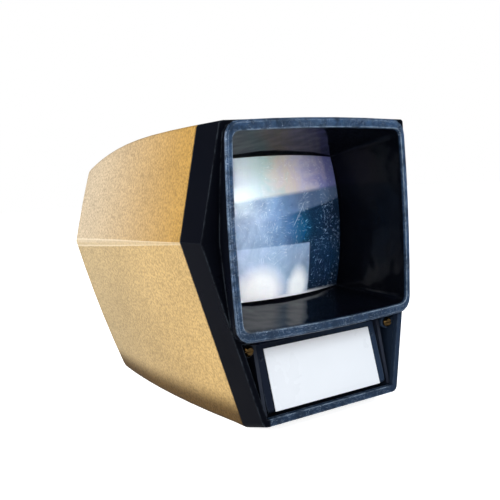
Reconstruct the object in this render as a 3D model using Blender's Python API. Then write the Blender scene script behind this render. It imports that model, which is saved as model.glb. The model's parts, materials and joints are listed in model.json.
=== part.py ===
"""A battery-lit viewer for mounted slides, built as separate pieces. Metres, +Z up, the front faces -Y."""

import math

import bmesh
import bpy
import numpy as np
from mathutils import Vector

# What the viewer must hold: a mounted slide and two cells
SLIDE_HALF = 0.0254
CELL_RADIUS = 0.0129
CELL_LENGTH = 0.0478
CELL_NUB_RADIUS = 0.0030
CELL_NUB_LENGTH = 0.0016
CELL_RIM = 0.0008

# Fits
CLEARANCE = 0.0003
RUNNING_GAP = 0.0006
OVERRUN = 0.0020
LEAST_RADIUS = 0.0003

# Walls
SHELL_WALL = 0.0020
BEZEL_WALL = 0.0020
TUNNEL_WALL = 0.0020
BOX_WALL = 0.0014
TONGUE_WALL = 0.0016
LIGHT_WALL = 0.0012
RAIL_WALL = 0.0020
CARRIAGE_WALL = 0.0016

# Lens and rim, sized from the slide
LENS_SIDE_MARGIN = 0.0059
LENS_HEIGHT_MARGIN = 0.0016
RIM_SIDE_MARGIN = 0.0090
RIM_HEIGHT_MARGIN = 0.0101
LENS_HALF_WIDTH = SLIDE_HALF + LENS_SIDE_MARGIN
LENS_HALF_HEIGHT = SLIDE_HALF + LENS_HEIGHT_MARGIN
RIM_HALF_WIDTH = LENS_HALF_WIDTH + RIM_SIDE_MARGIN
RIM_HALF_HEIGHT = LENS_HALF_HEIGHT + RIM_HEIGHT_MARGIN
RIM_FACE = 0.0035
RIM_SIDE_FACE = 0.0024
RIM_BOW = 0.0008
RIM_RADIUS = 0.0060
HOOD_RADIUS = 0.0032
RIM_EDGE = 0.0009
LENS_CORNER_Y = 0.0340
LENS_FRONT_RADIUS = 0.0980
LENS_EDGE = 0.0030
LENS_CORNER_RADIUS = 0.0005
FLANGE_WIDTH = 0.0062
FLANGE_THICKNESS = 0.0020
FLANGE_RADIUS = 0.0045
RETAINER_THICKNESS = 0.0020
RETAINER_LIP = 0.0032

# Heights, from the cells up to the rim
CELL_BOTTOM_Z = 0.0062
CELL_TOP_Z = CELL_BOTTOM_Z + 2 * CELL_RADIUS
CHEEK_BELOW_CELLS = 0.0004
CHEEK_TOP_Z = CELL_TOP_Z - CHEEK_BELOW_CELLS
HOOD_ABOVE_CELLS = 0.0014
HOOD_BOTTOM_Z = CELL_TOP_Z + HOOD_ABOVE_CELLS
RIM_ABOVE_HOOD = 0.0008
RIM_Z = HOOD_BOTTOM_Z + RIM_ABOVE_HOOD + RIM_HALF_HEIGHT
LENS_BELOW_RIM = 0.0018
LENS_Z = RIM_Z - LENS_BELOW_RIM
SILL_TOP_Z = 0.0064

# Hexagonal section at the bezel: half widths and heights
TOP_BEYOND_RIM = 0.0008
TOP_HALF = RIM_HALF_WIDTH + TOP_BEYOND_RIM
TOP_Z = RIM_Z + RIM_HALF_HEIGHT
CREASE_BEYOND_RIM = 0.0075
CREASE_BELOW_RIM = 0.0026
CREASE_HALF = RIM_HALF_WIDTH + CREASE_BEYOND_RIM
CREASE_Z = RIM_Z - CREASE_BELOW_RIM
BASE_BEYOND_CELLS = 0.0030
CELL_SIDE_GAP = 0.0006
BOX_RIB_HALF = 0.0010
CELL_X = CELL_RADIUS + BOX_RIB_HALF + CELL_SIDE_GAP
BASE_HALF = CELL_X + CELL_RADIUS + BASE_BEYOND_CELLS
TOP_CORNER_RADIUS = 0.0014
BASE_CORNER_RADIUS = 0.0026
SIDE_BOW = 0.0010
TOP_BOW = 0.0006

# Fasteners
SCREW_RADIUS = 0.0011
SCREW_HEAD_RADIUS = 0.0019
SCREW_HEAD_HEIGHT = 0.0013
SCREW_SLOT = 0.0005
SCREW_EDGE = 0.0010
BOSS_RADIUS = 0.0025
BOSS_LENGTH = 0.0120
BEZEL_SCREW_GRIP = 0.0090
FLOOR_SCREW_LENGTH = 0.0040
FLOOR_SCREW_RECESS = 0.0015
RETAINER_SCREW_LENGTH = 0.0038

# Battery box
BOX_SIDE_GAP = 0.0010
BOX_SIDE_HALF = CELL_X + CELL_RADIUS + BOX_SIDE_GAP + BOX_WALL
BOX_RAIL = 0.0020
CHEEK_MARGIN = 0.0012
CHEEK_LEAN_SHARE = 0.75
CELL_FRONT_Y = 0.0150
CELL_END_Y = CELL_FRONT_Y + CELL_LENGTH
BOX_FLOOR_START = 0.0080
STRIP_THICKNESS = 0.0005
STRIP_HALF = 0.0060
BATTERY_SPRING_ROOM = 0.0072
BOX_BACK_Y = CELL_END_Y + BATTERY_SPRING_ROOM + STRIP_THICKNESS + CLEARANCE + BOX_WALL
SPRING_WIRE = 0.0008
BATTERY_SPRING_RADIUS = 0.0046
BATTERY_SPRING_TURNS = 3
BOX_SCREW_FROM_BACK = 0.0042
BOX_SCREW_Y = BOX_BACK_Y - BOX_SCREW_FROM_BACK
BOX_SCREW_IN = 0.0143
BOX_SCREW_X = BOX_SIDE_HALF - BOX_SCREW_IN

# Bezel
FRONT_BASE_Y = 0.0006
FRONT_CREASE_Y = 0.0073
FRONT_TOP_Y = 0.0020
BEZEL_DEPTH = 0.0147
SECTION_Y = FRONT_CREASE_Y + BEZEL_DEPTH
COLLAR_TAPER = 0.0005
TONGUE_LENGTH = 0.0050
TONGUE_REACH = BEZEL_DEPTH + TONGUE_LENGTH
TONGUE_BELOW_CHEEK = 0.0031
TONGUE_LOW_Z = CHEEK_TOP_Z - TONGUE_BELOW_CHEEK
BEZEL_CHIN_RISE = 0.0040
BEZEL_SCREW_X = BOX_SIDE_HALF + CLEARANCE + BOSS_RADIUS
BEZEL_SCREW_DROP = 0.0013
BEZEL_SCREW_Z = CHEEK_TOP_Z - BEZEL_SCREW_DROP
LUG_FRONT_Y = 0.0066

# Door under the hood
DOOR_GAP = 0.0005
DOOR_SIDE_GAP = 0.0012
DOOR_HALF = BOX_SIDE_HALF - BOX_WALL - DOOR_GAP
DOOR_UNDER_HOOD = 0.0024
DOOR_TOP_Z = HOOD_BOTTOM_Z - DOOR_UNDER_HOOD
DOOR_THICKNESS = 0.0018
DOOR_PIN_UP = 0.0023
DOOR_PIN_Z = SILL_TOP_Z + DOOR_PIN_UP
DOOR_PIN_Y = 0.0051
DOOR_TOP_Y = 0.0094
DOOR_PIN_RADIUS = 0.0009
DOOR_BARREL_RADIUS = 0.0015
DOOR_BARREL_IN = 0.0030
DOOR_BARREL_HALF = BASE_HALF - DOOR_BARREL_IN
DOOR_PIN_LENGTH = 0.0020
LABEL_SIDE_MARGIN = 0.0032
LABEL_HALF = DOOR_HALF - LABEL_SIDE_MARGIN
LABEL_BELOW_TOP = 0.0018
LABEL_BELOW_PIN = 0.0009
LABEL_THICKNESS = 0.0003
LABEL_SEAT = 0.0001
SNAP_IN = 0.0016
SNAP_X = DOOR_HALF - SNAP_IN
SNAP_BELOW_TOP = 0.0050
SNAP_RADIUS = 0.0006
DOOR_CONTACT_HALF_HEIGHT = 0.0035

# Slide stage
SLIDE_GAP = 0.0034
STAGE_BEHIND_BOX = 0.0198
SLIDE_Y = BOX_BACK_Y + STAGE_BEHIND_BOX
PICTURE_HALF = 0.0180
GATE_THICKNESS = 0.0012
CARRIAGE_TRAVEL = 0.0100
CARRIAGE_SHELF = 0.0030
CARRIAGE_ARM_HEIGHT = 0.0300
STEM_RADIUS = 0.0020
SPRING_RADIUS = 0.0040
SPRING_TURNS = 6
SLOT_SIDE_GAP = 0.0011
SLOT_HALF = SLIDE_HALF + SLOT_SIDE_GAP
SLOT_LENGTHWISE = 0.0048
NOTCH_RADIUS = 0.0095

# Chassis
FOOT_THICKNESS = 0.0020
FOOT_HALF = 0.0180
FOOT_BEFORE_STAGE = 0.0120
FOOT_BEHIND_STAGE = 0.0230
FOOT_FRONT_Y = SLIDE_Y - FOOT_BEFORE_STAGE
FOOT_REAR_Y = SLIDE_Y + FOOT_BEHIND_STAGE
WEB_X = 0.0140
WEB_THICKNESS = 0.0020
DECK_THICKNESS = 0.0020
DECK_TOP_Z = CELL_TOP_Z
DECK_SHORT = 0.0030
DECK_REAR_Y = FOOT_REAR_Y - DECK_SHORT
RAIL_LIP = 0.0010
RAIL_ABOVE_LENS = 0.0265
RAIL_TOP_Z = LENS_Z + RAIL_ABOVE_LENS
FOOT_SCREW_FRONT_IN = 0.0035
FOOT_SCREW_FRONT_Y = FOOT_FRONT_Y + FOOT_SCREW_FRONT_IN
FOOT_SCREW_REAR_Y = FOOT_REAR_Y - DECK_SHORT

# Light box and lamp
LAMP_BEHIND_STAGE = 0.0155
LAMP_Y = SLIDE_Y + LAMP_BEHIND_STAGE
LIGHT_BEHIND_LAMP = 0.0125
LIGHT_BACK_Y = LAMP_Y + LIGHT_BEHIND_LAMP
LIGHT_IN_SLIDE = 0.0014
LIGHT_HALF = SLIDE_HALF - LIGHT_IN_SLIDE
LIGHT_BELOW_LENS = 0.0235
LIGHT_ABOVE_LENS = 0.0230
LIGHT_BOTTOM_Z = LENS_Z - LIGHT_BELOW_LENS
LIGHT_TOP_Z = LENS_Z + LIGHT_ABOVE_LENS
DIFFUSER_THICKNESS = 0.0016
LAMP_CAP_RADIUS = 0.0046
LAMP_CAP_LENGTH = 0.0100
LAMP_NECK_SHARE = 0.85
LAMP_TIP_SHARE = 0.15
LAMP_GLASS_RADIUS = 0.0056
LAMP_GLASS_LENGTH = 0.0150
SOCKET_WALL = 0.0007
SOCKET_FLANGE = 0.0072
SOCKET_DROP = 0.0035
SOCKET_FLOOR = 0.0015
REFLECTOR_THICKNESS = 0.0006
REFLECTOR_DEPTH = 0.0060

# Lamp switch
LEAF_HALF = 0.0025
LEAF_THICKNESS = 0.0004
LEAF_BEHIND_STAGE = 0.0210
LEAF_PIVOT_Y = SLIDE_Y + LEAF_BEHIND_STAGE
LEAF_PIVOT_RADIUS = 0.0010
LEAF_BEFORE_STAGE = 0.0030
LEAF_LENGTH = LEAF_BEHIND_STAGE + LEAF_BEFORE_STAGE
LEAF_EYE_WALL = 0.0008
LEAF_ABOVE_FOOT = 0.0175
CONTACT_HEIGHT = 0.0054
CONTACT_THICKNESS = 0.0008
CONTACT_HALF = 0.0035

# The whole, and how the shell changes from the bezel to its back
BACK_GAP = 0.0050
DEPTH = LIGHT_BACK_Y + BACK_GAP + SHELL_WALL
FRONT_Y = -DEPTH / 2
REAR_TOP_IN = 0.0026
REAR_CREASE_DROP = 0.0036
REAR_BASE_IN = 0.0030
REAR_TOP_HALF = TOP_HALF - REAR_TOP_IN
REAR_CREASE_Z = CREASE_Z - REAR_CREASE_DROP
REAR_BASE_HALF = BASE_HALF - REAR_BASE_IN
REAR_TOP_RADIUS = 0.0034
REAR_BASE_RADIUS = 0.0062
TOP_DROP = 0.0108
BASE_SWELL = 0.0030
REAR_RADIUS = 0.0030

# Wires
WIRE_RADIUS = 0.0006
WIRE_STEP = 0.0030
WIRE_RISE = 0.0020
WIRE_BESIDE_DECK = 0.0025
WIRE_OVER_DECK = 0.0080
WIRE_UNDER_LIGHT = 0.0080
WIRE_TURN = 0.0055

# Detail of the meshes
SIDE_STEPS = 5
CORNER_STEPS = 4
LENS_STEPS = 10
ROUND_SIDES = 24
SMALL_SIDES = 18
SHARP_ANGLE = math.radians(22)
STATION_SHARES = (0, 0.16, 0.32, 0.46, 0.58, 0.69, 0.78, 0.86, 0.93)
ROUNDING_SHARES = (0, 0.2, 0.4, 0.6, 0.8, 1)
DROP_POWER = 3
UPPER_BOW_SHARE = 0.3
CURL_POINTS = 8

COLOURS = {
    "gold": ((0.50, 0.30, 0.10), 0.0, 0.55),
    "black": ((0.012, 0.013, 0.018), 0.0, 0.30),
    "clear": ((0.80, 0.86, 0.92), 0.0, 0.08),
    "label": ((0.80, 0.80, 0.80), 0.0, 0.40),
    "grey": ((0.10, 0.10, 0.11), 0.0, 0.50),
    "white": ((0.80, 0.80, 0.78), 0.0, 0.50),
    "brass": ((0.60, 0.42, 0.16), 1.0, 0.35),
    "steel": ((0.55, 0.55, 0.55), 1.0, 0.35),
    "cell": ((0.06, 0.10, 0.22), 0.1, 0.40),
    "wire": ((0.40, 0.05, 0.04), 0.0, 0.45),
}


def clear_scene():
    for thing in list(bpy.data.objects):
        bpy.data.objects.remove(thing, do_unlink=True)


def material(name):
    """The named material, made once."""
    found = bpy.data.materials.get(name)
    if found:
        return found
    colour, metallic, roughness = COLOURS[name]
    made = bpy.data.materials.new(name)
    made.use_nodes = True
    shader = made.node_tree.nodes["Principled BSDF"]
    shader.inputs["Base Color"].default_value = (*colour, 1)
    shader.inputs["Metallic"].default_value = metallic
    shader.inputs["Roughness"].default_value = roughness
    return made


def add_object(name, mesh_builder, colour=None, origin=(0, 0, 0)):
    """An object from a bmesh in world places, with its origin moved to the given point."""
    bmesh.ops.translate(mesh_builder, vec=-Vector(origin), verts=mesh_builder.verts)
    bmesh.ops.recalc_face_normals(mesh_builder, faces=mesh_builder.faces)
    mesh = bpy.data.meshes.new(name)
    mesh_builder.to_mesh(mesh)
    mesh_builder.free()
    mesh.shade_smooth()
    mesh.set_sharp_from_angle(angle=SHARP_ANGLE)
    made = bpy.data.objects.new(name, mesh)
    made.location = origin
    bpy.context.scene.collection.objects.link(made)
    if colour:
        mesh.materials.append(material(colour))
    else:
        made.hide_render = True
        made.display_type = "WIRE"
    return made


def combine(target, tool, operation):
    """Cuts a tool out of the target, or joins it on."""
    step = target.modifiers.new(tool.name, "BOOLEAN")
    step.operation = operation
    step.object = tool
    step.solver = "EXACT"
    tool.hide_render = True
    tool.display_type = "WIRE"


def cut(target, *tools):
    for tool in tools:
        combine(target, tool, "DIFFERENCE")


def join(target, *tools):
    for tool in tools:
        combine(target, tool, "UNION")


def loft(name, rings, colour=None, origin=(0, 0, 0)):
    """A closed solid through rings of points that all have the same count."""
    builder = bmesh.new()
    levels = [[builder.verts.new(p) for p in ring] for ring in rings]
    for low, high in zip(levels, levels[1:]):
        for here, (a, b) in enumerate(zip(low, high)):
            builder.faces.new((low[here - 1], a, b, high[here - 1]))
    builder.faces.new(levels[0])
    builder.faces.new(levels[-1])
    return add_object(name, builder, colour, origin)


def block(name, low, high, colour=None, origin=(0, 0, 0)):
    """A box between two corners."""
    (x0, y0, z0), (x1, y1, z1) = low, high
    rings = [[(x0, y, z0), (x1, y, z0), (x1, y, z1), (x0, y, z1)] for y in (y0, y1)]
    return loft(name, rings, colour, origin)


def prism(name, outline, x0, x1, colour=None, origin=(0, 0, 0)):
    """An outline of (y, z) points drawn out along X."""
    return loft(name, [[(x, y, z) for y, z in outline] for x in (x0, x1)], colour, origin)


def plate(name, outline, y0, y1, colour=None, origin=(0, 0, 0)):
    """An outline of (x, z) points drawn out along Y."""
    return loft(name, [[(x, y, z) for x, z in outline] for y in (y0, y1)], colour, origin)


def turned(name, profile, centre, axis, colour=None, sides=ROUND_SIDES):
    """A round piece: (radius, place) pairs turned about an axis through the centre."""
    rings = []
    for radius, place in profile:
        ring = []
        for k in range(sides):
            angle = 2 * math.pi * k / sides
            flat = [radius * math.cos(angle), radius * math.sin(angle)]
            flat.insert("xyz".index(axis), place)
            ring.append(tuple(Vector(centre) + Vector(flat)))
        rings.append(ring)
    return loft(name, rings, colour)


def rounded(corners, radii, bows, side_steps=SIDE_STEPS):
    """A convex outline with its corners rounded and its sides bowed out."""
    count = len(corners)
    ends = []
    for k in range(count):
        here = Vector(corners[k])
        back = (Vector(corners[k - 1]) - here).normalized()
        ahead = (Vector(corners[(k + 1) % count]) - here).normalized()
        if radii[k] <= 0:
            ends.append([here])
            continue
        half = back.angle(ahead) / 2
        reach = radii[k] / math.tan(half)
        centre = here + (back + ahead).normalized() * radii[k] / math.sin(half)
        first, last = here + back * reach - centre, here + ahead * reach - centre
        turn = math.pi - 2 * half
        angles = [turn * step / CORNER_STEPS for step in range(CORNER_STEPS + 1)]
        ends.append([centre + (first * math.sin(turn - t) + last * math.sin(t)) / math.sin(turn)
                     for t in angles])
    points = []
    for k in range(count):
        points += ends[k]
        a, b = ends[k][-1], ends[(k + 1) % count][0]
        along = (b - a).normalized()
        outward = Vector((along.y, -along.x))
        for step in range(1, side_steps):
            share = step / side_steps
            points.append(a + (b - a) * share + outward * bows[k] * 4 * share * (1 - share))
    return [tuple(p) for p in points]


def rectangle(half_width, half_height, centre_z, radius, bow=0.0):
    """An (x, z) rectangle with round corners and bowed sides."""
    low, high = centre_z - half_height, centre_z + half_height
    corners = [(half_width, low), (half_width, high), (-half_width, high), (-half_width, low)]
    return rounded(corners, [radius] * len(corners), [bow] * len(corners))


def inset_polygon(corners, distance):
    """Moves each side of a convex polygon inward."""
    count = len(corners)
    lines = []
    for k in range(count):
        a, b = Vector(corners[k]), Vector(corners[(k + 1) % count])
        along = (b - a).normalized()
        inward = Vector((-along.y, along.x))
        lines.append((a + inward * distance, along))
    result = []
    for k in range(count):
        (p, d), (q, e) = lines[k - 1], lines[k]
        across = d.x * e.y - d.y * e.x
        share = ((q - p).x * e.y - (q - p).y * e.x) / across
        result.append(tuple(p + d * share))
    return result


def hexagon(share, inset=0.0, drop=0.0, lift=0.0):
    """The (x, z) corners of the section, from 0 at the bezel to 1 at the back, anticlockwise."""
    def between(front, back):
        return front + (back - front) * share
    top, crease = between(TOP_HALF, REAR_TOP_HALF), CREASE_HALF
    top_z, crease_z = TOP_Z - drop, between(CREASE_Z, REAR_CREASE_Z)
    base = between(BASE_HALF, REAR_BASE_HALF) + BASE_SWELL * 4 * share * (1 - share)
    base += (crease - base) * lift / crease_z
    corners = [(base, lift), (crease, crease_z), (top, top_z),
               (-top, top_z), (-crease, crease_z), (-base, lift)]
    return inset_polygon(corners, inset) if inset else corners


def soften(corners, share, inset=0.0):
    """Rounds a section's top and base corners, and bows its top and, to the back, its sides."""
    base = BASE_CORNER_RADIUS + (REAR_BASE_RADIUS - BASE_CORNER_RADIUS) * share
    top = TOP_CORNER_RADIUS + (REAR_TOP_RADIUS - TOP_CORNER_RADIUS) * share
    base, top = max(base - inset, LEAST_RADIUS), max(top - inset, LEAST_RADIUS)
    radii = (base, 0, top, top, 0, base)
    lower, upper = SIDE_BOW * share, SIDE_BOW * share * UPPER_BOW_SHARE
    return rounded(corners, radii, (lower, upper, TOP_BOW, upper, lower, 0))


def ring_at(y, share, inset=0.0, drop=0.0, lift=0.0):
    outline = soften(hexagon(share, inset, drop, lift), share, inset)
    return [(x, FRONT_Y + y, z) for x, z in outline]


def part_at(y):
    """How far a distance behind the rim lies along the part of the shell that tapers."""
    return max((y - SECTION_Y) / (DEPTH - SECTION_Y), 0)


def shell_rings(start, end, inset):
    """Sections of the shell from its front to its back, with the back edge rounded over."""
    radius = REAR_RADIUS - inset
    straight = end - radius
    rings = [ring_at(start, 0, inset)]
    for share in STATION_SHARES:
        y = SECTION_Y + (straight - SECTION_Y) * share
        rings.append(ring_at(y, part_at(y), inset, TOP_DROP * part_at(y) ** DROP_POWER))
    for share in ROUNDING_SHARES:
        angle = math.pi / 2 * share
        y = straight + radius * math.sin(angle)
        extra = radius * (1 - math.cos(angle))
        rings.append(ring_at(y, part_at(y), inset + extra, TOP_DROP * part_at(y) ** DROP_POWER))
    return rings


def top_z_at(y):
    """The shell's outer top at a distance behind the rim."""
    return TOP_Z - TOP_DROP * part_at(y) ** DROP_POWER


def screw(name, head, direction, length, colour):
    """A slotted pan-head screw. head is the underside of its head, direction a signed axis letter."""
    sign = -1 if direction[0] == "-" else 1
    axis = direction[-1]
    profile = [(SCREW_RADIUS, sign * length), (SCREW_RADIUS, 0), (SCREW_HEAD_RADIUS, 0),
               (SCREW_HEAD_RADIUS, -sign * SCREW_HEAD_HEIGHT / 2),
               (SCREW_HEAD_RADIUS - SCREW_HEAD_HEIGHT / 2, -sign * SCREW_HEAD_HEIGHT)]
    made = turned(name, profile, head, axis, colour, SMALL_SIDES)
    low = [-SCREW_SLOT / 2, -SCREW_SLOT / 2, -SCREW_SLOT / 2]
    high = [SCREW_SLOT / 2, SCREW_SLOT / 2, SCREW_SLOT / 2]
    long_way = 0 if axis != "x" else 1
    low[long_way], high[long_way] = -SCREW_HEAD_RADIUS - OVERRUN, SCREW_HEAD_RADIUS + OVERRUN
    reach = sorted((-sign * (SCREW_HEAD_HEIGHT + OVERRUN),
                    -sign * (SCREW_HEAD_HEIGHT - SCREW_SLOT)))
    low["xyz".index(axis)], high["xyz".index(axis)] = reach
    slot = block(name + "_slot_cut", [a + b for a, b in zip(head, low)],
                 [a + b for a, b in zip(head, high)])
    cut(made, slot)
    return made


def bore(name, centre, axis, radius, start, end):
    return turned(name, [(radius, start), (radius, end)], centre, axis, None, SMALL_SIDES)


def tube(name, points, radius, colour, sides_resolution):
    """A round tube with closed ends along a list of points."""
    curve = bpy.data.curves.new(name, "CURVE")
    curve.dimensions = "3D"
    curve.bevel_depth = radius
    curve.bevel_resolution = sides_resolution
    curve.use_fill_caps = True
    spline = curve.splines.new("POLY")
    spline.points.add(len(points) - 1)
    for place, point in zip(spline.points, points):
        place.co = (*point, 1)
    made = bpy.data.objects.new(name, curve)
    bpy.context.scene.collection.objects.link(made)
    curve.materials.append(material(colour))
    return made


def coil_points(start, axis, radius, turns, length):
    """A spring's centre line, whose ends run straight for one wire diameter."""
    total = turns * CURL_POINTS
    climb = length - 2 * SPRING_WIRE
    along = "xyz".index(axis)
    points = []
    for k in range(total + 1):
        angle = 2 * math.pi * k / CURL_POINTS
        place = [radius * math.cos(angle), radius * math.sin(angle)]
        place.insert(along, SPRING_WIRE + climb * k / total)
        points.append(place)
    low, high = list(points[0]), list(points[-1])
    low[along], high[along] = 0, length
    return [tuple(Vector(start) + Vector(p)) for p in [low] + points + [high]]


def spring(name, start, axis, radius, turns, length):
    """A coil spring of one unbroken wire. It prints its least gap, measured on its own points."""
    points = coil_points(start, axis, radius, turns, length)
    places = np.array(points)
    far = [np.linalg.norm(places[k] - places[k + CURL_POINTS // 2:], axis=1).min()
           for k in range(len(points) - CURL_POINTS // 2)]
    print(f"{name}: least gap to itself {(min(far) - SPRING_WIRE) * 1000:.2f} mm")
    return tube(name, points, SPRING_WIRE / 2, "steel", 1)


def smooth_route(points, step):
    """Points at even steps along a smooth curve through the given ones."""
    route = [Vector(p) for p in points]
    padded = [route[0] * 2 - route[1]] + route + [route[-1] * 2 - route[-2]]
    result = []
    for a, b, c, d in zip(padded, padded[1:], padded[2:], padded[3:]):
        parts = max(round((c - b).length / step), 1)
        for k in range(parts):
            t = k / parts
            result.append(tuple(((2 * b) + (c - a) * t + (2 * a - 5 * b + 4 * c - d) * t * t
                                 + (3 * b - a - 3 * c + d) * t ** 3) / 2))
    return result + [tuple(route[-1])]


# Shared places, worked out from the sizes above
TONGUE_INSET = SHELL_WALL + CLEARANCE
BAND_START = BEZEL_DEPTH - TONGUE_WALL - BEZEL_WALL
LENS_BACK_Y = LENS_CORNER_Y + LENS_EDGE
FLANGE_BACK_Y = LENS_BACK_Y
DOOR_LEAN = math.atan2(DOOR_TOP_Y - DOOR_PIN_Y + DOOR_BARREL_RADIUS, DOOR_TOP_Z - DOOR_PIN_Z)
CELL_Z = CELL_BOTTOM_Z + CELL_RADIUS
BOX_FLOOR_TOP = CELL_BOTTOM_Z - CLEARANCE
BOX_FLOOR_BOTTOM = BOX_FLOOR_TOP - BOX_WALL
STRIP_Y = BOX_BACK_Y - BOX_WALL - CLEARANCE - STRIP_THICKNESS
STRIP_TOP_Z = CHEEK_TOP_Z + CLEARANCE
CHASSIS_BASE_Z = SHELL_WALL + CLEARANCE
FOOT_TOP_Z = CHASSIS_BASE_Z + FOOT_THICKNESS
DECK_BOTTOM_Z = DECK_TOP_Z - DECK_THICKNESS
CARRIAGE_HALF = SLIDE_HALF + CLEARANCE + CARRIAGE_WALL
CARRIAGE_HALF_DEPTH = SLIDE_GAP / 2 + CARRIAGE_WALL
RAIL_INNER = CARRIAGE_HALF + RUNNING_GAP
RAIL_OUTER = RAIL_INNER + RAIL_WALL
RAIL_HALF_DEPTH = CARRIAGE_HALF_DEPTH + RUNNING_GAP + RAIL_WALL
SLIDE_REST_Z = LENS_Z - SLIDE_HALF + CARRIAGE_TRAVEL
SHELF_BOTTOM_Z = SLIDE_REST_Z - CARRIAGE_SHELF
STEM_BOTTOM_Z = FOOT_TOP_Z + LEAF_ABOVE_FOOT + CLEARANCE
LIGHT_FRONT_Y = SLIDE_Y + RAIL_HALF_DEPTH + CLEARANCE
LEAF_TOP_Z = FOOT_TOP_Z + LEAF_ABOVE_FOOT
LEAF_PIVOT_Z = LEAF_TOP_Z - LEAF_THICKNESS / 2
LEAF_EYE_RADIUS = LEAF_PIVOT_RADIUS + CLEARANCE + LEAF_EYE_WALL
SOCKET_INNER = LAMP_CAP_RADIUS + CLEARANCE
SOCKET_OUTER = SOCKET_INNER + SOCKET_WALL
FLANGE_Z = LIGHT_BOTTOM_Z + LIGHT_WALL + CLEARANCE


def at(y):
    """A world Y from a distance behind the rim's face."""
    return FRONT_Y + y


def front_y(z):
    """The bezel's front at a height, which lies deepest at the crease."""
    far = FRONT_BASE_Y if z < CREASE_Z else FRONT_TOP_Y
    reach = CREASE_Z if z < CREASE_Z else TOP_Z - CREASE_Z
    return FRONT_CREASE_Y + (far - FRONT_CREASE_Y) * abs(z - CREASE_Z) / reach


LUG_END_Y = front_y(BEZEL_SCREW_Z + BOSS_RADIUS) + TONGUE_REACH


def lift_at(y):
    """The chin's rise, highest at the bezel's front and none at its back."""
    return BEZEL_CHIN_RISE * max(1 - (y - FRONT_BASE_Y) / BEZEL_DEPTH, 0)


def slice_across(name, front, back):
    """A solid from side to side between two planes that both follow the bezel's bent front."""
    heights = (-OVERRUN, CREASE_Z, TOP_Z + TOP_BOW + OVERRUN)
    outline = [(at(front_y(z) + front), z) for z in heights]
    outline += [(at(front_y(z) + back), z) for z in reversed(heights)]
    return prism(name, outline, -CREASE_HALF - OVERRUN, CREASE_HALF + OVERRUN)


def bezel_length(name, inset, front, back, colour=None):
    """A length of the bezel's section between two such planes, whose chin rises to the front."""
    rings = [ring_at(y, 0, inset, 0, lift_at(y))
             for y in (-OVERRUN, FRONT_BASE_Y + BEZEL_DEPTH, SECTION_Y + TONGUE_REACH)]
    length = loft(name, rings, colour)
    combine(length, slice_across(name + "_slice", front, back), "INTERSECT")
    return length


def half_width(z, inset=0.0):
    """The straight half width of the bezel's section below the crease."""
    return BASE_HALF + (CREASE_HALF - BASE_HALF) * z / CREASE_Z - inset


def tunnel_sizes(y):
    """Inner half width, half height and middle height of the tunnel, tapering from rim to lens."""
    share = y / LENS_CORNER_Y
    front_half, front_height = RIM_HALF_WIDTH - RIM_SIDE_FACE, RIM_HALF_HEIGHT - RIM_FACE
    return (front_half + (LENS_HALF_WIDTH - front_half) * share,
            front_height + (LENS_HALF_HEIGHT - front_height) * share,
            RIM_Z + (LENS_Z - RIM_Z) * share)


def tunnel_ring(y, extra=0.0):
    half, height, middle = tunnel_sizes(y)
    radius = HOOD_RADIUS + (LENS_CORNER_RADIUS - HOOD_RADIUS) * min(max(y / LENS_CORNER_Y, 0), 1)
    outline = rectangle(half + extra, height + extra, middle, radius + extra, RIM_BOW)
    return [(x, at(y), z) for x, z in outline]


def rim_ring(y, inset=0.0):
    outline = rectangle(RIM_HALF_WIDTH - inset, RIM_HALF_HEIGHT - inset, RIM_Z,
                        RIM_RADIUS - inset, RIM_BOW)
    return [(x, at(y), z) for x, z in outline]


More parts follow.
